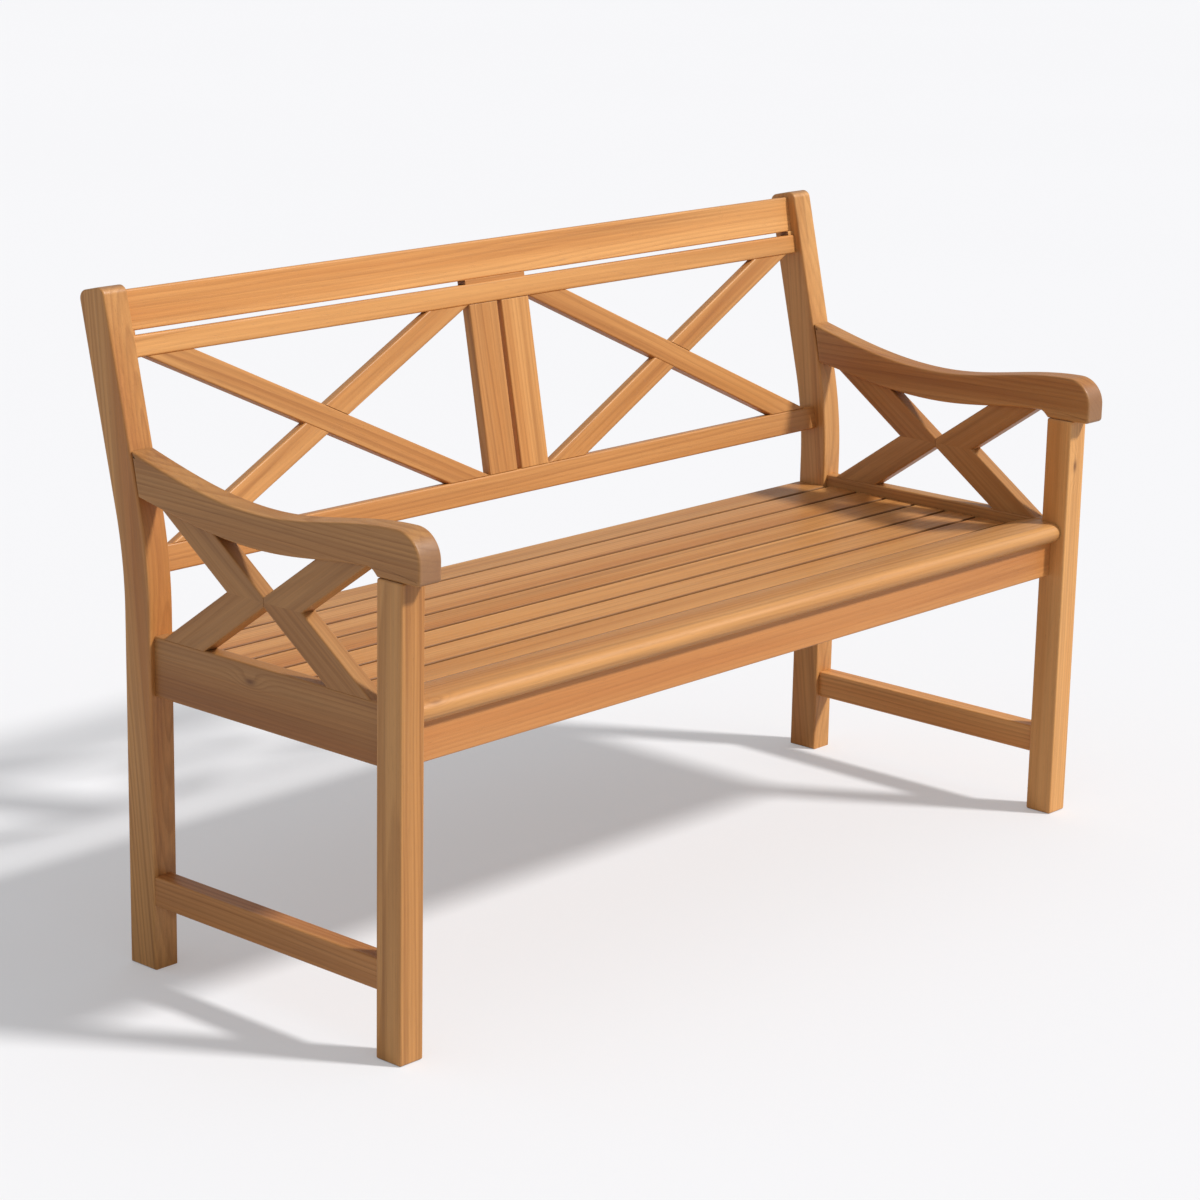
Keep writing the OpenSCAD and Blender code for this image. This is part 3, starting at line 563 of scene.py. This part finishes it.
def armOutline():
    # Side of an arm: a quarter-round nose, the swept top, the end cut along the post, the hollow underside,
    # and a short ease from the hollow down to the flat over the leg.
    under = arms["height"] - arms["frontDepth"]
    start = front - arms["nose"] + arms["noseRadius"]
    foot = legBack + arms["step"]
    topY = np.linspace(start, postFront + arms["end"], 90)[1:]
    top = np.stack([topY, armTop(topY)], 1)
    top = top[topY < postFrontAt(top[:, 1]) + 0.0005]
    lowY = np.linspace(postFront + arms["end"], foot, 90)
    low = np.stack([lowY, armLow(lowY)], 1)
    low = low[low[:, 0] < np.maximum(postFrontAt(low[:, 1]), postFront) + 0.0005]
    t = np.linspace(0, 1, 9)[1:]
    ease = np.stack([foot + (legBack + 0.001 - foot) * t,
                     armLow(foot) + (under - armLow(foot)) * (1 - np.cos(np.pi / 2 * t))], 1)
    nose = arc((start, arms["height"] - arms["noseRadius"]), arms["noseRadius"], 180, 90, 16)
    lip = arc((front - arms["nose"] + arms["lip"], under + arms["lip"]), arms["lip"], 270, 180, 5)
    return np.concatenate([nose, top, low, ease, lip])


armShape = slab(armOutline(), legMid - arms["width"] / 2, legMid + arms["width"] / 2, arms["ease"])
bothSides("arm", turned(armShape, acrossX), (0, 1, 0), (0.25, 0, 1), 14)
print("legs, posts and arms made")


# seat frame
for name, order in (("side_rail", 16), ("stretcher", 18)):
    low, high = corners("right_" + name)
    shape = bar((low[0], legBack, low[2]), (high[0], postFront, high[2]), "y")
    bothSides(name, shape, (0, 1, 0), (0.15, 0, 1), order)
low, high = corners("front_rail")
board("front_rail", bar((-legIn, low[1], low[2]), (legIn, high[1], high[2]), "x"), (1, 0, 0), (0, 0.2, 1), 20)

# seat slats
seat = {"ease": 0.002, "nose": 0.0145, "frontDepth": 0.029, "drop": 0.0155, "clear": 0.0008, "crownSteps": 10}


def frontSlatShape():
    # Section of the wide front slat: a half-round nose, a flat over the leg line,
    # and a crown of radius (fall^2 / drop + drop) / 2 that falls away behind.
    low, high = corners("seat_slat_1")
    top, r = high[2], seat["nose"]
    nose = arc((low[1] + r, top - r), r, 270, 90, 16)
    fall = high[1] - legBack
    crown = (fall ** 2 / seat["drop"] + seat["drop"]) / 2
    reach = np.degrees(np.arcsin(fall / crown))
    back = arc((legBack, top - crown), crown, 90, 90 - reach, seat["crownSteps"])
    k = 0.0025
    tail = arc((back[-1][0] - k, back[-1][1] - k), k, 90 - reach, 0, 4)
    outline = np.concatenate([nose, back[:-1], tail, [[high[1], low[2]], [legBack, low[2]],
                                                      [legBack, top - seat["frontDepth"]]]])
    # the nose and the back edge get the lighter-edge mark: partly real edge wear, partly painted highlight
    wearAndHighlight = np.zeros(len(outline))
    wearAndHighlight[:17] = 0.25
    wearAndHighlight[len(nose) + len(back) - 1:len(nose) + len(back) + 4] = 0.8
    return turned(slab(outline, low[0], high[0], 0.0007, wearAndHighlight=wearAndHighlight, steps=2, flat=0.001), acrossX)


slat = board("seat_slat_1", frontSlatShape(), (1, 0, 0), (0, 1, 0.1), 30)
notchIn, notchBack = legIn - seat["clear"], legBack + seat["clear"]
cutAway(slat, [block((-legOut, front - 0.01, 0.3), (-notchIn, notchBack, 0.6)),
               block((notchIn, front - 0.01, 0.3), (legOut, notchBack, 0.6))])
for i in range(2, 9):
    low, high = corners("seat_slat_%d" % i)
    board("seat_slat_%d" % i, bar(low, high, "x", seat["ease"]), (1, 0, 0), (0, 1, 0.15), 30 + i)
print("seat made")


# leaning back panel
panel = {"in": 0.019, "topIn": 0.008, "rise": 0.535, "drop": 0.007, "rail": 0.024, "bar": 0.016,
         "topRail": 0.054, "topRailIn": 0.006, "slot": 0.006, "upperRail": 0.029, "lowerRail": 0.036,
         "barWidth": 0.035, "stile": 0.057, "stileGap": 0.0085, "endGap": 0.024, "spacer": 0.012,
         "spacerIn": 0.003, "spacerFit": 0.0005, "ease": 0.0025}
panelTop = legs["top"] - panel["drop"]
lean = np.arctan((postFrontAt(panelTop) + panel["topIn"] - postFront - panel["in"])
                 / (panelTop - panel["rise"]))
panelOrigin = np.array([0, postFront + panel["in"], panel["rise"]])
leaning = np.array([[1, 0, 0], [0, np.cos(lean), -np.sin(lean)], [0, np.sin(lean), np.cos(lean)]])
panelHeight = (panelTop - panel["rise"]) / np.cos(lean)
topRailV = panelHeight - panel["topRail"]
upperRailV = topRailV - panel["slot"] - panel["upperRail"]
openLow, openHigh = panel["lowerRail"], upperRailV
stileOut = panel["stileGap"] / 2 + panel["stile"]
barNear, barFar = stileOut + seat["clear"], legIn - panel["endGap"]


def inPanel(shape):
    # from the panel's own frame, z up its slope, to the bench's
    return turned(shape, leaning, panelOrigin)


def panelVector(v):
    # turns a direction only
    return np.array(v, float) @ leaning


rails = {"lower_rail": (0, panel["lowerRail"], 0), "upper_rail": (upperRailV, panel["upperRail"], 0),
         "top_rail": (topRailV, panel["topRail"], panel["topRailIn"])}
for k, (name, (v, h, y)) in enumerate(rails.items()):
    shape = bar((-legIn, y, v), (legIn, y + panel["rail"], v + h), "x", 0.003)
    board(name, inPanel(shape), (1, 0, 0), panelVector((0, 0.25, 1)), 40 + k)
stileShape = bar((panel["stileGap"] / 2, 0, openLow), (stileOut, panel["bar"], openHigh), "z", 0.002)
board("right_stile", inPanel(stileShape), panelVector((0, 0, 1)), (1, 0.2, 0), 44)
board("left_stile", inPanel(mirrored(stileShape)), panelVector((0, 0, 1)), (-1, 0.2, 0), 45)
spans = {"middle_spacer": (-stileOut, stileOut), "left_spacer": (-legIn, panel["spacer"] - legIn),
         "right_spacer": (legIn - panel["spacer"], legIn)}
for k, (name, (a, b)) in enumerate(spans.items()):
    y = panel["spacerIn"]
    low, high = upperRailV + panel["upperRail"] - panel["spacerFit"], topRailV + panel["spacerFit"]
    shape = bar((a, y, low), (b, y + panel["bar"], high), "x", 0.0008)
    board(name, inPanel(shape), (1, 0, 0), panelVector((0, 0.2, 1)), 46 + k)


def barSlope(span, height, width):
    # slope at which a bar of this width runs corner to corner:
    # a = atan(height / (span - width / sin a)), settled by repetition
    a = np.radians(25)
    for _ in range(12):
        a = np.arctan(height / (span - width / np.sin(a)))
    return a


slope = barSlope(barFar - barNear, openHigh - openLow, panel["barWidth"])
barMid = np.array([(barNear + barFar) / 2, (openLow + openHigh) / 2])


def crossedBarOutline(rising, side):
    # Bar of the panel drawn in x and z: two long edges at the slope, cut level at the rails.
    half = (openHigh - openLow) / 2
    reach, w = half / np.tan(slope), panel["barWidth"] / 2 / np.sin(slope)
    points = np.array([[-reach - w, -half], [-reach + w, -half], [reach + w, half], [reach - w, half]])
    if not rising:
        points = points * [-1, 1]
    return points + barMid * [side, 1]


def crossedBar(rising, side):
    # share keeps the level cuts nearly square, the long edges are eased
    outline = crossedBarOutline(rising, side)
    share = [0.15, 1, 0.15, 1]
    return turned(slab(outline, 0, panel["bar"], panel["ease"], share=share, steps=4), acrossY)


def lapCutter(rising, side):
    # the other bar's outline, carried through half the thickness and a little past the face
    outline = crossedBarOutline(not rising, side)
    if area(outline) < 0:
        outline = outline[::-1]
    near, far = (-0.01, panel["bar"] / 2) if rising else (panel["bar"] / 2, panel["bar"] + 0.01)
    points = np.array([[x, y, z] for y in (near, far) for x, z in outline])
    faces = [(0, 1, 2, 3), (7, 6, 5, 4), (0, 4, 5, 1), (1, 5, 6, 2), (2, 6, 7, 3), (3, 7, 4, 0)]
    return points @ leaning + panelOrigin, faces


order = 50
for side, hand in ((-1, "left"), (1, "right")):
    for rising, word in ((False, "falling"), (True, "rising")):
        along = panelVector((np.cos(slope) * (1 if rising else -1), 0, np.sin(slope)))
        piece = board("%s_%s_bar" % (hand, word), inPanel(crossedBar(rising, side)), along,
                      panelVector((0, 1, 0)), order)
        cutAway(piece, [lapCutter(rising, side)])
        order += 1
print("back panel made")


# arrow braces under the arms
brace = {"width": 0.046, "thick": 0.024, "slope": 35.0, "rise": 0.086, "tip": 0.010, "ease": 0.0025,
         "seat": 0.0008, "armSeat": 0.002, "legSeat": 0.0005, "postSeat": 0.012,
         "endShare": 0.2}        # how much of the rounding the cut ends take
sideTop = corners("right_side_rail")[1][2]


def clipped(outline, share, point, normal, newShare):
    # Keeps the part of a convex outline on the inner side of a line, where (p - point) . normal <= 0;
    # the new edge takes its own share.
    out, kept = [], []
    n = len(outline)
    height = (outline - point) @ np.array(normal)
    for i in range(n):
        j = (i + 1) % n
        if height[i] <= 0:
            out.append(outline[i])
            kept.append(share[i])
        if (height[i] <= 0) != (height[j] <= 0):
            t = height[i] / (height[i] - height[j])
            out.append(outline[i] + (outline[j] - outline[i]) * t)
            kept.append(newShare if height[i] <= 0 else share[i])
    return np.array(out), kept


def braceOutline(side, level):
    # One bar of a pair, from the meeting point in the middle of the bay up or down to the arm or the rail.
    a = np.radians(brace["slope"])
    run = postFront - bayMid
    inner = brace["width"] / np.sin(a) - brace["tip"]
    outer = -brace["tip"]
    climb = run * np.tan(a)
    points = np.array([[outer, 0], [outer + run, climb], [inner + run, climb], [inner, 0]])
    end = brace["endShare"]
    share = [1, end, 1, 0]
    points, share = clipped(points, share, np.array([0, 0]), (-1, 0), 0.25)
    points = points * [side, level] + [bayMid, sideTop + brace["rise"]]
    if side * level < 0:        # mirrored once: the order turns round and each share follows its edge
        points, share = points[::-1], list(np.roll(share[::-1], -1))
    if level < 0:
        points, share = clipped(points, share, np.array([0, sideTop - brace["seat"]]), (0, -1), end)
    else:
        # the arm's underside, taken as the chord over the bar's own stretch
        probe = np.linspace(min(bayMid, bayMid + side * run), max(bayMid, bayMid + side * run), 400)
        base = sideTop + brace["rise"]
        lowEdge = base + (np.abs(probe - bayMid) - inner) * np.tan(a)
        highEdge = base + (np.abs(probe - bayMid) - outer) * np.tan(a)
        under = armLow(probe)
        y1 = probe[np.argmin(np.abs(lowEdge - under))]
        y2 = probe[np.argmin(np.abs(highEdge - under))]
        p1, p2 = np.array([y1, armLow(y1)]), np.array([y2, armLow(y2)])
        tangent = unit(p2 - p1)
        normal = np.array([-tangent[1], tangent[0]])
        normal = normal if normal[1] > 0 else -normal
        points, share = clipped(points, share, p1 + normal * brace["armSeat"], normal, end)
    points, share = clipped(points, share, np.array([legBack - brace["legSeat"], 0]), (-1, 0), end)
    points, share = clipped(points, share, np.array([postFront + brace["postSeat"], 0]), (1, 0), end)
    return points, share


order = 60
for side, sideWord in ((-1, "front"), (1, "back")):
    for level, levelWord in ((1, "top"), (-1, "low")):
        outline, share = braceOutline(side, level)
        shape = turned(slab(outline, legMid - brace["thick"] / 2, legMid + brace["thick"] / 2, brace["ease"],
                            share=share, steps=4), acrossX)
        a = np.radians(brace["slope"])
        bothSides("brace_%s_%s" % (sideWord, levelWord), shape, (0, side * np.cos(a), level * np.sin(a)),
                  (1, 0.1, 0.2), order)
        order += 2

for name in made:
    finishBoard(name)
print("boards finished:", len(made))

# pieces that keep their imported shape
steel = steelMaterial()
kept = {"back_seat_rail": hiddenTimber["x"], "middle_bearer": hiddenTimber["y"],
        "left_cleat": hiddenTimber["y"], "right_cleat": hiddenTimber["y"],
        "slat_dowels": hiddenTimber["z"], "brace_dowels": hiddenTimber["z"],
        "panel_dowels": hiddenTimber["z"], "slat_screws": steel, "cleat_screws": steel}
for name, material in kept.items():
    nodes[name].data.materials.clear()
    nodes[name].data.materials.append(material)


studio = {
    "floor": (0.620, 0.622, 0.640),
    "backdrop": 0.94,
    "floorGlow": 0.25,                     # seen by the camera only, lifts the shadows
    "skyStrength": 0.45,
    "skyColour": (0.97, 0.98, 1.0),
    "sun": 3.25,
    "sunColour": (1.0, 0.985, 0.96),
    "sunFrom": (0.23, -0.35, 0.3765),      # the way back to the light
    "sunSize": 7.0,                        # degrees across: sets how soft the shadows are
}


def floorMaterial():
    # pale matt floor with a very soft mottle
    material = bpy.data.materials.new("studioFloor")
    material.use_nodes = True
    t = Tree(material.node_tree)
    place = t.add("ShaderNodeTexCoord").outputs["Object"]
    soft = t.noise(place, (0.5, 0.5, 0.5), 1.0)
    c = studio["floor"]
    colour = t.mix(soft, tuple(x * 0.985 for x in c), c)
    glow = t.math("MULTIPLY", t.add("ShaderNodeLightPath").outputs["Is Camera Ray"], studio["floorGlow"])
    shader = t.add("ShaderNodeBsdfPrincipled", {"Base Color": colour, "Roughness": 0.9, "IOR": 1.2,
                                                "Emission Color": (0.98, 0.985, 1.0, 1.0),
                                                "Emission Strength": glow})
    t.add("ShaderNodeOutputMaterial", {"Surface": shader.outputs[0]})
    return material


floorMesh = bpy.data.meshes.new("floor")
floorMesh.from_pydata([(-30, -30, -0.0002), (30, -30, -0.0002), (30, 30, -0.0002), (-30, 30, -0.0002)], [],
                      [(0, 1, 2, 3)])
floor = bpy.data.objects.new("floor", floorMesh)
floor.data.materials.append(floorMaterial())
bpy.context.scene.collection.objects.link(floor)

world = bpy.data.worlds.new("studio")
bpy.context.scene.world = world
world.use_nodes = True
t = Tree(world.node_tree)
path = t.add("ShaderNodeLightPath").outputs
seen = path["Is Camera Ray"]
light = t.add("ShaderNodeBackground", {"Color": (*studio["skyColour"], 1), "Strength": studio["skyStrength"]})
plain = t.add("ShaderNodeBackground", {"Color": (1, 1, 1, 1), "Strength": studio["backdrop"]})
both = t.add("ShaderNodeMixShader", {0: seen, 1: light.outputs[0], 2: plain.outputs[0]})
t.add("ShaderNodeOutputWorld", {"Surface": both.outputs[0]})

sunData = bpy.data.lights.new("window", "SUN")
sunData.energy = studio["sun"]
sunData.color = studio["sunColour"]
sunData.angle = np.radians(studio["sunSize"])
sun = bpy.data.objects.new("window", sunData)
sun.rotation_mode = "QUATERNION"
sun.rotation_quaternion = Vector(studio["sunFrom"]).to_track_quat("Z", "Y")
bpy.context.scene.collection.objects.link(sun)

camera = {"place": (-3.3498, -2.9700, 1.5981), "yaw": 47.98, "pitch": -14.83, "roll": 1.11, "lens": 97.77}


def cameraMatrix():
    # forward from yaw and pitch, right level with the ground, both turned by the roll
    yaw, pitch, roll = np.radians([camera["yaw"], camera["pitch"], camera["roll"]])
    forward = np.array([np.sin(yaw) * np.cos(pitch), np.cos(yaw) * np.cos(pitch), np.sin(pitch)])
    right = np.array([np.cos(yaw), -np.sin(yaw), 0])
    up = np.cross(right, forward)
    right, up = right * np.cos(roll) + up * np.sin(roll), up * np.cos(roll) - right * np.sin(roll)
    m = Matrix(np.column_stack([right, up, -forward]).tolist()).to_4x4()
    m.translation = camera["place"]
    return m


cameraData = bpy.data.cameras.new("camera")
cameraData.lens = camera["lens"]
cameraData.sensor_width = 36
cameraObject = bpy.data.objects.new("camera", cameraData)
cameraObject.matrix_world = cameraMatrix()
bpy.context.scene.collection.objects.link(cameraObject)
bpy.context.scene.camera = cameraObject
bpy.context.scene.view_settings.view_transform = "Standard"
print("studio set")
